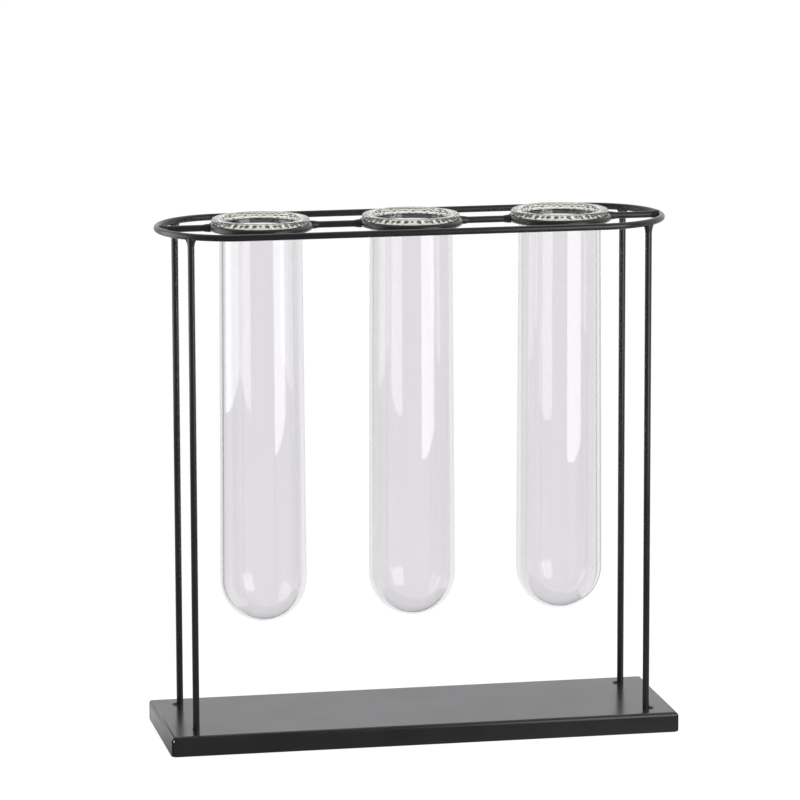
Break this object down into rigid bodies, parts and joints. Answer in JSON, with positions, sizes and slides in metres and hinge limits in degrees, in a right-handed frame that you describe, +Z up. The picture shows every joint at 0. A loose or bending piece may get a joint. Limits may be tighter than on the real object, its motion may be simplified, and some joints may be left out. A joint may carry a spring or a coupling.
{
  "type": "test tube vase",
  "caption": "Row of clear glass test tubes hanging by flared lips in the rings of a black wire cage welded to a folded sheet foot; each tube lifts out.",
  "frame": {"origin": "on the floor under the middle of the foot", "axes": "+Z up, +X along the row of tubes, -Y towards the front"},
  "size_m": [0.27, 0.085, 0.2745],
  "materials": {
    "foot_coat": "satin black powder coat on folded steel sheet",
    "wire_coat": "satin black powder coat on welded steel wire",
    "tube_glass": "clear blown glass, fire-polished lip"
  },
  "bodies": {
    "frame": {"base_plate": "foot_coat", "upright_front_left": "wire_coat", "upright_front_right": "wire_coat", "upright_rear_left": "wire_coat", "upright_rear_right": "wire_coat", "top_hoop": "wire_coat", "holder_ring_left": "wire_coat", "holder_ring_centre": "wire_coat", "holder_ring_right": "wire_coat", "spine_end_left": "wire_coat", "spine_link_left": "wire_coat", "spine_link_right": "wire_coat", "spine_end_right": "wire_coat", "upright_top_welds": "wire_coat", "ring_welds": "wire_coat", "hoop_end_welds": "wire_coat", "foot_tacks": "wire_coat"},
    "tube_left": {"tube_left": "tube_glass"},
    "tube_centre": {"tube_centre": "tube_glass"},
    "tube_right": {"tube_right": "tube_glass"}
  },
  "joints": [
    {"name": "tube_left_lift", "type": "slide", "parent": "frame", "child": "tube_left", "axis": [0, 0, 1], "range_m": [0, 0.22]},
    {"name": "tube_centre_lift", "type": "slide", "parent": "frame", "child": "tube_centre", "axis": [0, 0, 1], "range_m": [0, 0.22]},
    {"name": "tube_right_lift", "type": "slide", "parent": "frame", "child": "tube_right", "axis": [0, 0, 1], "range_m": [0, 0.22]}
  ]
}
